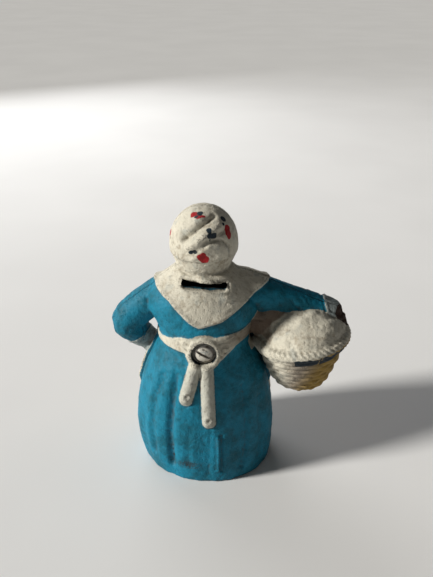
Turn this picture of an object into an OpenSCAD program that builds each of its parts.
// Cast-iron still bank: a standing figure in a headscarf, shawl and apron, one hand
// on the hip and a laundry basket carried on the other side.  Two hollow castings
// meet at the plane y = 0.  One long slotted screw, sunk in a well in the apron bow
// at the back, clamps them.  Z is up, the base rests on z = 0, the face looks along
// -Y and the coin slot opens at +Y.  All sizes are in millimetres.

/* [Figure] */
// Height from the base to the top of the headscarf
figure_h = 161; // [156:1:194]
// Width of the skirt at its fullest
skirt_w = 84.4; // [80:0.2:102]
// Depth of the skirt at its fullest, front to back
skirt_d = 72.5; // [68:0.5:88]
// Width of the waist under the apron band
waist_w = 50; // [46:0.5:56]
// Width of the bodice across the back of the arms
bodice_w = 70; // [66:0.5:74]
// Depth of the grooves between the skirt pleats
pleat_depth = 1.1; // [0:0.1:1.6]
// Number of pleats round the skirt
pleat_count = 12; // [6:1:16]

/* [Head and arms] */
// Width of the head with its headscarf
head_w = 38.4; // [36:0.2:42]
// Distance the elbow of the arm on the hip stands out from the middle
elbow_x = 45; // [43:0.5:48]
// Radius of the sleeves at the elbow
sleeve_r = 10.6; // [9.4:0.1:11.4]
// Thickness of the raised cloth edges: shawl, band and apron
cloth_t = 1.1; // [0.7:0.1:1.6]

/* [Basket] */
// Width of the basket across its rim
basket_w = 55; // [50:0.5:60]
// Height of the basket below its rim
basket_h = 30; // [26:0.5:32]
// Distance of the basket centre from the middle of the figure
basket_x = 56.5; // [54:0.5:60]
// Number of woven rows
weave_rows = 8; // [5:1:10]
// Number of stakes round the basket
weave_stakes = 18; // [12:2:24]

/* [Castings] */
// Wall thickness of the castings
wall_t = 3.2; // [3.2:0.1:3.8]
// Gap left at the seam between the two castings
seam_gap = 0.3; // [0.2:0.05:0.4]
// Thickness of the locating tongues on the front casting
tongue_t = 2.4; // [1.8:0.1:3]
// Reach of the locating tongues into the rear casting
tongue_reach = 4; // [2:0.5:6]

/* [Coin slot] */
// Length of the coin slot, to pass a coin of 24.3 mm
slot_l = 25.4; // [24.8:0.1:27]
// Height of the coin slot
slot_h = 4.5; // [4.3:0.1:5]

/* [Clamp screw] */
// Diameter of the screw thread
screw_d = 6.3; // [5.5:0.1:7]
// Diameter of the slotted screw head
screw_head_d = 12; // [10.5:0.1:13]
// Height of the domed screw head
screw_head_h = 3.8; // [3:0.1:4.6]
// Radial clearance of the screw in both castings
screw_fit = 0.06; // [0.02:0.01:0.1]
// Radial clearance of the screw head in its well
well_clear = 0.85; // [0.4:0.05:1.2]

/* [Hidden] */

// Paint colours of the castings and the steel of the screw
dress_blue = [0.09, 0.42, 0.56];
steel_grey = [0.62, 0.60, 0.56];

// Heights of the figure
waist_z = 0.525 * figure_h;
bodice_z = 0.655 * figure_h;
shoulder_z = 0.735 * figure_h;
neck_z = 0.785 * figure_h;
head_zr = 0.555 * head_w;
head_z = figure_h - head_zr;
head_yr = 0.53 * head_w;
floor_t = wall_t;

// Faceting of the cast forms
body_seg = 72;
body_step = 7;
chamber_seg = 32;
chamber_step = 10;
limb_seg = 14;
limb_step = 3;
ease = 4;

// Half width of the body at each height
half_w = [
    [0, 0.91 * skirt_w / 2],
    [0.03 * figure_h, 0.945 * skirt_w / 2],
    [0.09 * figure_h, 0.985 * skirt_w / 2],
    [0.17 * figure_h, skirt_w / 2],
    [0.28 * figure_h, 0.955 * skirt_w / 2],
    [0.38 * figure_h, 0.865 * skirt_w / 2],
    [0.46 * figure_h, 0.72 * skirt_w / 2],
    [0.50 * figure_h, 1.06 * waist_w / 2],
    [0.54 * figure_h, waist_w / 2],
    [0.60 * figure_h, 0.85 * bodice_w / 2],
    [bodice_z, bodice_w / 2],
    [shoulder_z, 0.76 * bodice_w / 2],
    [neck_z - 3, 0.50 * bodice_w / 2],
    [neck_z + 3, 0.28 * bodice_w / 2]
];

// Half depth of the body towards the back at each height
half_back = [
    [0, 0.975 * skirt_d / 2],
    [0.03 * figure_h, skirt_d / 2],
    [0.17 * figure_h, skirt_d / 2],
    [0.30 * figure_h, 0.96 * skirt_d / 2],
    [0.42 * figure_h, 0.86 * skirt_d / 2],
    [waist_z, 0.72 * skirt_d / 2],
    [bodice_z, 0.70 * skirt_d / 2],
    [shoulder_z, 0.60 * skirt_d / 2],
    [neck_z - 3, 0.55 * skirt_d / 2],
    [neck_z + 3, 0.22 * skirt_d / 2]
];

// Half depth of the body towards the front at each height
half_front = [
    [0, 0.94 * skirt_d / 2],
    [0.03 * figure_h, 0.97 * skirt_d / 2],
    [0.17 * figure_h, 0.98 * skirt_d / 2],
    [0.34 * figure_h, 0.92 * skirt_d / 2],
    [waist_z, 0.70 * skirt_d / 2],
    [bodice_z, 0.78 * skirt_d / 2],
    [shoulder_z, 0.54 * skirt_d / 2],
    [neck_z - 3, 0.38 * skirt_d / 2],
    [neck_z + 3, 0.26 * skirt_d / 2]
];

// Sideways shift of the body at each height
half_shift = [
    [0, -1.8],
    [0.1 * figure_h, -0.5],
    [0.2 * figure_h, 0]
];

// Screw, its well and the post it screws into
screw_z = waist_z - 0.6;
screw_r = screw_d / 2;
well_r = screw_head_d / 2 + well_clear;
seat_y = 0.725 * skirt_d / 2;
bow_y = seat_y + screw_head_h;
knot_r = well_r + 1.8;
post_r = screw_r + 4;
post_y = seam_gap / 2 + 1.5;
screw_engage = 18.4;
screw_tip_y = -post_y - screw_engage;
driver_w = 1.5;
driver_depth = 1.6;
head_edge = 1.4;
slot_angle = -30;
web_t = 5;
tail_r = 3.7;
tap_runout = 1.6;

// Locating tongues on both sides of the skirt
tongue_z = 0.18 * figure_h;
tongue_h = 14;
tongue_root = 6;
tongue_clear = 0.35;

// Coin slot through the back of the shawl
slot_x = -0.3;
slot_z = 0.7505 * figure_h;
slot_tilt = -3.5;
slot_in = 5;
chute_d = 9.5;
chute_h = 14;
neck_bore = 6;

// Arm on the hip, as [x, y, z, radius] along its middle line
hip_arm = [
    [0.50 * elbow_x, -4, 0.667 * figure_h, sleeve_r],
    [0.78 * elbow_x, -4, 0.615 * figure_h, 0.95 * sleeve_r],
    [elbow_x, -3.5, 0.551 * figure_h, 0.94 * sleeve_r],
    [0.90 * elbow_x, -6, 0.503 * figure_h, 0.80 * sleeve_r],
    [0.66 * elbow_x, -13, 0.416 * figure_h, 0.56 * sleeve_r]
];
hip_cuff = [
    [0.80 * elbow_x, -8.5, 0.468 * figure_h, 0.68 * sleeve_r],
    [0.66 * elbow_x, -13, 0.416 * figure_h, 0.66 * sleeve_r]
];

// Arm round the basket, as [x, y, z, radius] along its middle line
basket_arm = [
    [-0.36 * basket_x, -1, 0.690 * figure_h, 1.08 * sleeve_r],
    [-0.62 * basket_x, -1.5, 0.660 * figure_h, 1.02 * sleeve_r],
    [-0.90 * basket_x, -3, 0.628 * figure_h, 0.88 * sleeve_r],
    [-1.14 * basket_x, -4, 0.606 * figure_h, 0.74 * sleeve_r],
    [-1.27 * basket_x, -3.5, 0.590 * figure_h, 0.66 * sleeve_r]
];
basket_cuff = [
    [-1.18 * basket_x, -4, 0.601 * figure_h, 0.76 * sleeve_r],
    [-1.29 * basket_x, -3.5, 0.586 * figure_h, 0.76 * sleeve_r]
];

// Basket and the laundry heaped in it
rim_r = basket_w / 2 - 1.5;
basket_z = 0.513 * figure_h;
basket_y = 4;
basket_tilt = 7;
basket_foot = 0.50;
weave_t = 0.8;
rim_t = 2.8;
basket_seg = 54;
laundry_h = 17;

// Value of a [height, value] table at z, with the corners eased off
function eased(z, tab) =
    (lookup(z - ease, tab) + 2 * lookup(z, tab) + lookup(z + ease, tab)) / 4;

// Groove between two pleats at angle t: 1 in the groove, 0 on the ridge
function groove(t) = pow((1 + cos(pleat_count * (t - 88))) / 2, 3);

// Share of the full pleat depth reached at height z
function pleat_fade(z) =
    lookup(z, [[0.02 * figure_h, 0.5], [0.1 * figure_h, 1], [0.36 * figure_h, 1], [0.48 * figure_h, 0]]);

// One ring of the body at height z, grown outwards by g, with p of the pleat depth
function body_ring(z, g, p) = [
    for (i = [0:body_seg - 1])
        let (t = 360 * i / body_seg,
             cut = g - p * pleat_depth * pleat_fade(z) * groove(t),
             w = eased(z, half_w) + cut,
             d = eased(z, sin(t) > 0 ? half_back : half_front) + cut)
        [eased(z, half_shift) * (0.6 + 1.2 * sin(t)) + w * cos(t), d * sin(t), z]
];

// One ring of the coin chamber at height z, grown by g from the inside of the wall
function chamber_ring(z, g) = [
    for (i = [0:chamber_seg - 1])
        let (t = 360 * i / chamber_seg,
             depth = sin(t) > 0 ? half_back : half_front,
             w = min(eased(z, half_w), eased(z + wall_t, half_w)) - wall_t + g,
             d = min(eased(z, depth), eased(z + wall_t, depth)) - wall_t + g)
        [eased(z, half_shift) * (0.6 + 1.2 * sin(t)) + w * cos(t), d * sin(t), z]
];

// Radius of the basket wall at the share f of its height
function basket_r(f) = rim_r * (basket_foot + (1 - basket_foot) * pow(f, 0.68));

// Surface of the body at the back, at side x and height z
function back_y(x, z) = eased(z, half_back) * sqrt(1 - pow(x / eased(z, half_w), 2));

// Point and radius t of the way between two path points, on a curve through four
function curve(a, b, c, d, t) =
    0.5 * (2 * b + (c - a) * t + (2 * a - 5 * b + 4 * c - d) * t * t
    + (3 * b - a - 3 * c + d) * t * t * t);

// A path of [x, y, z, radius] points filled in with smooth steps
function smooth_path(path) = [
    for (i = [0:len(path) - 2])
        for (k = [0:limb_step - 1])
            curve(path[max(i - 1, 0)], path[i], path[i + 1],
                  path[min(i + 2, len(path) - 1)], k / limb_step),
    path[len(path) - 1]
];

function xyz(p) = [p[0], p[1], p[2]];
function unit(v) = v / norm(v);

// Rings square to a filled path, grown by g
function limb_rings(pts, g) = [
    for (i = [0:len(pts) - 1])
        let (run = unit(xyz(pts[min(i + 1, len(pts) - 1)]) - xyz(pts[max(i - 1, 0)])),
             u = unit(cross(run, [0, 1, 0])),
             v = cross(run, u))
        [for (k = [0:limb_seg - 1])
            xyz(pts[i]) + (pts[i][3] + g)
            * (u * cos(360 * k / limb_seg) + v * sin(360 * k / limb_seg))]
];

// Solid through a list of rings that all have the same number of points
module loft(rings) {
    n = len(rings[0]);
    last = (len(rings) - 1) * n;
    sides = [
        for (i = [0:len(rings) - 2])
            for (k = [0:n - 1])
                let (a = i * n + k, b = i * n + (k + 1) % n)
                each [[a, a + n, b], [b, a + n, b + n]]
    ];
    foot = [for (k = [0:n - 1]) k];
    head = [for (k = [n - 1:-1:0]) last + k];
    polyhedron([for (r = rings) each r], concat(sides, [foot, head]), 10);
}

// Body between two heights, grown by g, with p of the pleat depth
module body_form(from_z, to_z, g, p) {
    steps = ceil((to_z - from_z) / body_step);
    loft([for (i = [0:steps]) body_ring(from_z + (to_z - from_z) * i / steps, g, p)]);
}

// Coin chamber between two heights, grown by g
module chamber_form(from_z, to_z, g) {
    steps = ceil((to_z - from_z) / chamber_step);
    loft([for (i = [0:steps]) chamber_ring(from_z + (to_z - from_z) * i / steps, g)]);
}

// Limb along a path, grown by g, with a ball at its end and at its start if asked
module limb(path, g = 0, start_ball = false) {
    pts = smooth_path(path);
    last = pts[len(pts) - 1];
    loft(limb_rings(pts, g));
    for (ball = start_ball ? [pts[0], last] : [last])
        translate(xyz(ball))
            sphere(r = ball[3] + g, $fn = limb_seg);
}

// Flat outline in x and z, made solid through the whole depth
module through_y(outline) {
    rotate([90, 0, 0])
        linear_extrude(2 * skirt_d, center = true)
            polygon(outline);
}

// Egg of three half axes about a centre
module egg(centre, radii, seg = 32) {
    translate(centre)
        scale(radii)
            sphere(r = 1, $fn = seg);
}

// Shoulders, bodice and sleeves that the shawl lies on
module shoulders(g) {
    body_form(waist_z, neck_z + 3, g, 0);
    limb([hip_arm[0], hip_arm[1]], g, true);
    limb([basket_arm[0], basket_arm[1]], g, true);
}

// Shawl: a point down the back and a crossed front
module shawl() {
    intersection() {
        shoulders(cloth_t);
        union() {
            intersection() {
                through_y([
                    [0.46 * bodice_w, 0.80 * figure_h],
                    [0.445 * bodice_w, 0.735 * figure_h],
                    [0.28 * bodice_w, 0.700 * figure_h],
                    [0.11 * bodice_w, 0.632 * figure_h],
                    [0.04 * bodice_w, 0.612 * figure_h],
                    [-0.14 * bodice_w, 0.635 * figure_h],
                    [-0.355 * bodice_w, 0.692 * figure_h],
                    [-0.575 * bodice_w, 0.740 * figure_h],
                    [-0.46 * bodice_w, 0.80 * figure_h]
                ]);
                half_space(1);
            }
            intersection() {
                through_y([
                    [0.46 * bodice_w, 0.80 * figure_h],
                    [0.445 * bodice_w, 0.735 * figure_h],
                    [0.10 * bodice_w, 0.625 * figure_h],
                    [-0.02 * bodice_w, 0.585 * figure_h],
                    [-0.14 * bodice_w, 0.635 * figure_h],
                    [-0.575 * bodice_w, 0.740 * figure_h],
                    [-0.46 * bodice_w, 0.80 * figure_h]
                ]);
                half_space(-1);
            }
        }
    }
}

// Everything on one side of the seam plane, for s = 1 the back and s = -1 the front
module half_space(s, gap = 0) {
    span = 2 * figure_h;
    translate([-span / 2, s > 0 ? gap / 2 : -span - gap / 2, -1])
        cube([span, span, span]);
}

// Headscarf with its folds knotted at the back of the head
module headscarf() {
    egg([0, 0, head_z], [head_w / 2, head_yr, head_zr], 34);
    for (fold = [[0, 1.5], [-2, 7], [-1, -6]])
        translate([0, 0, head_z])
            rotate([0, 40, 0])
                egg([fold[0], head_yr - 1.6 - 0.04 * fold[1] * fold[1], fold[1]], [8, 2.6, 2.2], 16);
}

// Face below the scarf edge, on plain even proportions
module face() {
    face_y = -head_yr;
    egg([0, -2.6, head_z - 2.5], [0.40 * head_w, head_yr, 0.80 * head_zr], 40);
    egg([0, face_y - 1.6, head_z - 4.2], [2.6, 2.8, 3.6], 16);
    for (s = [-1, 1]) {
        egg([s * 7, face_y + 0.6, head_z - 6.5], [5, 3, 4.4], 16);
        egg([s * 6.2, face_y + 0.2, head_z + 0.6], [2.9, 2, 1.6], 16);
    }
    egg([0, face_y + 0.1, head_z - 10.2], [4.2, 2.2, 1.7], 16);
    egg([0, face_y + 1.6, head_z - 14.6], [5, 3.6, 3.6], 16);
}

// Bow at the back of the band, round the screw well
module bow() {
    intersection() {
        body_form(0.4 * figure_h, 0.7 * figure_h, 2 * cloth_t, 0);
        half_space(1);
        through_y([
            [0.25 * waist_w, screw_z + 7.5],
            [-0.28 * waist_w, screw_z + 8.4],
            [-0.40 * waist_w, screw_z + 6],
            [-0.40 * waist_w, screw_z + 2.5],
            [-0.20 * waist_w, screw_z - 4.2],
            [-0.08 * waist_w, screw_z - 8],
            [0.10 * waist_w, screw_z - 5],
            [0.19 * waist_w, screw_z - 2.2],
            [0.25 * waist_w, screw_z + 1]
        ]);
    }
    egg([0, seat_y - 3, screw_z], [knot_r + 2.6, bow_y - seat_y + 4, knot_r + 1.6], 32);
    tail([4.6, screw_z - 7], [10.4, screw_z - 27.5], tail_r);
    tail([-1.4, screw_z - 7], [-2.7, screw_z - 41.5], tail_r);
}

// Ribbon tail lying on the back of the skirt between two [x, z] points
module tail(top, end, r) {
    limb([
        for (t = [0:0.25:1])
            let (p = top + (end - top) * t)
            [p[0], back_y(p[0], p[1]) - 0.2 * r, p[1], r]
    ]);
}

// Apron band round the waist, lower at the arm side and wider at the basket side
module band() {
    intersection() {
        body_form(0.44 * figure_h, 0.62 * figure_h, cloth_t, 0);
        through_y([
            [0.70 * waist_w, screw_z + 2.2],
            [0.50 * waist_w, screw_z + 2.9],
            [0.25 * waist_w, screw_z + 8.2],
            [0, screw_z + 8.8],
            [-0.40 * waist_w, screw_z + 9.6],
            [-0.75 * waist_w, screw_z + 8.4],
            [-0.75 * waist_w, screw_z + 1.2],
            [-0.40 * waist_w, screw_z + 1.8],
            [0.20 * waist_w, screw_z - 1],
            [0.50 * waist_w, screw_z - 0.6],
            [0.70 * waist_w, screw_z - 1.6]
        ]);
    }
}

// Apron over the front of the skirt
module apron() {
    intersection() {
        body_form(0.05 * figure_h, waist_z + 3.1, 1.4 * cloth_t, 0.35);
        half_space(-1);
        translate([0, 0, 0.37 * figure_h])
            rotate([90, 0, 0])
                scale([0.478 * skirt_w, 0.285 * figure_h])
                    cylinder(r = 1, h = skirt_d, $fn = 64);
    }
}

// Basket wall with its rim at z = 0 on the middle line, grown by g, with w of the weave
module basket_form(g, w, seg) {
    loft([
        for (i = [0:2 * weave_rows])
            let (f = i / (2 * weave_rows),
                 crest = i % 2 == 1 ? w * weave_t : 0,
                 side = i % 4 == 1 ? 1 : -1)
            [for (k = [0:seg - 1])
                let (t = 360 * k / seg,
                     r = basket_r(f) + g + crest * (0.6 + 0.4 * side * cos(weave_stakes * t / 2)),
                     x = r * cos(t))
                [x, r * sin(t), basket_h * (f - 1) - f * x * tan(basket_tilt)]]
    ]);
}

// Places its children on the middle of the basket rim
module at_basket(tilt) {
    translate([-basket_x, basket_y, basket_z])
        rotate([0, tilt, 0])
            children();
}

// Basket with its rolled rim, the heaped laundry and the fold against the waist
module basket() {
    at_basket(0)
        basket_form(0, 1, basket_seg);
    at_basket(basket_tilt) {
        rotate_extrude($fn = 44)
            translate([rim_r, 0])
                scale([0.85, 1.1])
                    circle(r = rim_t, $fn = 8);
        egg([-1, 0.3, 0.6], [rim_r - 1, rim_r - 1, laundry_h - 0.5], 28);
        egg([10, -3, 2], [13, 17, 10], 24);
    }
    egg([-0.53 * bodice_w, 0, 0.575 * figure_h], [15, 12, 12.5], 24);
}

// Hands, laid on the hip and over the far side of the basket
module hands() {
    egg([0.48 * elbow_x, -0.31 * skirt_d, 0.40 * figure_h], [8, 5.5, 5], 20);
    translate([-1.37 * basket_x, -1, 0.54 * figure_h])
        rotate([0, -24, 0])
            egg([0, 0, 0], [5, 6.5, 8], 18);
}

// Outer form of the whole figure, both halves together
module figure() {
    body_form(0, neck_z + 3, 0, 1);
    limb(hip_arm, 0, true);
    limb(hip_cuff);
    limb(basket_arm, 0, true);
    limb(basket_cuff);
    hands();
    shawl();
    headscarf();
    face();
    band();
    apron();
    bow();
    basket();
}

// Hollow inside the whole figure, both halves together
module hollow() {
    chamber_form(floor_t, neck_z - wall_t, 0);
    limb(hip_arm, -wall_t);
    limb(basket_arm, -wall_t);
    egg([0, 0, head_z], [head_w / 2 - wall_t, head_yr - wall_t, head_zr - wall_t], 24);
    translate([0, 0, neck_z - 10])
        cylinder(r = neck_bore, h = head_z - neck_z + 10, $fn = 24);
    at_basket(0)
        intersection() {
            basket_form(-wall_t, 0, 30);
            translate([0, 0, wall_t])
                cube([2 * basket_w, 2 * basket_w, 2 * basket_h], center = true);
        }
    at_basket(basket_tilt)
        egg([-1, 0.4, 1.3], [rim_r - 1.6 - wall_t, rim_r - 1.6 - wall_t, laundry_h - 1 - wall_t], 22);
}

// Coin slot cut straight in from the back, with the chute down into the chamber
module coin_slot() {
    translate([slot_x, slot_in + skirt_d / 2, slot_z])
        rotate([0, slot_tilt, 0])
            cube([slot_l, skirt_d, slot_h], center = true);
    translate([slot_x, slot_in + chute_d / 2, slot_z - chute_h / 2])
        cube([slot_l, chute_d, chute_h + slot_h], center = true);
}

// Locating tongue on the side s of the skirt, from one height to another
module tongue(s, from_z, to_z) {
    intersection() {
        difference() {
            union() {
                intersection() {
                    chamber_form(from_z, to_z, -tongue_clear);
                    seam_slab(-tongue_root, tongue_reach);
                }
                intersection() {
                    chamber_form(from_z, to_z, wall_t / 3);
                    seam_slab(-tongue_root, -seam_gap / 2);
                }
            }
            chamber_form(from_z - 1, to_z + 1, -tongue_clear - tongue_t);
        }
        translate([s > 0 ? 0 : -skirt_w, -skirt_d, 0])
            cube([skirt_w, 2 * skirt_d, figure_h]);
    }
}

// Slab of everything between two distances from the seam plane
module seam_slab(from_y, to_y) {
    translate([-2 * skirt_w, from_y, -1])
        cube([4 * skirt_w, to_y - from_y, 2 * figure_h]);
}

// Round bar along y at the height of the screw, from one y to another
module screw_bar(r, from_y, to_y, seg = 48) {
    translate([0, from_y, screw_z])
        rotate([-90, 0, 0])
            cylinder(r = r, h = to_y - from_y, $fn = seg);
}

// Front casting: face, apron, floor half, tapped post and locating tongues
module front_half() {
    color(dress_blue)
        difference() {
            resize([0, 0, 0])
                union() {
                    intersection() {
                        difference() {
                            figure();
                            hollow();
                        }
                        half_space(-1, seam_gap);
                    }
                    screw_bar(post_r, -0.68 * skirt_d / 2, -post_y, 32);
                    tongue(1, tongue_z, tongue_z + tongue_h);
                    tongue(-1, tongue_z, tongue_z + tongue_h);
                }
            screw_bar(screw_r + screw_fit, screw_tip_y - tap_runout, 0);
        }
}

// Rear casting: shawl with the coin slot, bow with the screw well, floor half
module rear_half() {
    color(dress_blue)
        difference() {
            resize([0, 0, 0])
                union() {
                    intersection() {
                        difference() {
                            figure();
                            hollow();
                            coin_slot();
                        }
                        half_space(1, seam_gap);
                    }
                    screw_bar(knot_r, seat_y - web_t, seat_y + 0.5 * screw_head_h, 40);
                }
            screw_bar(screw_r + screw_fit, 0.3 * seat_y, seat_y + 1);
            screw_bar(well_r, seat_y, skirt_d);
        }
}

// Long machine screw with a domed head and a single driver slot
module clamp_screw() {
    dome_r = (pow(screw_head_d / 2, 2) + pow(screw_head_h - head_edge, 2)) / (2 * (screw_head_h - head_edge));
    color(steel_grey)
        difference() {
            translate([0, seat_y, screw_z])
                rotate([-90, 0, 0])
                    union() {
                        translate([0, 0, screw_tip_y - seat_y])
                            cylinder(r = screw_r, h = seat_y - screw_tip_y + 0.5, $fn = 48);
                        intersection() {
                            cylinder(r = screw_head_d / 2, h = screw_head_h, $fn = 48);
                            translate([0, 0, screw_head_h - dome_r])
                                sphere(r = dome_r, $fn = 96);
                        }
                    }
            translate([0, bow_y, screw_z])
                rotate([0, slot_angle, 0])
                    cube([2 * screw_head_d, 2 * driver_depth, driver_w], center = true);
        }
}

front_half();
rear_half();
clamp_screw();
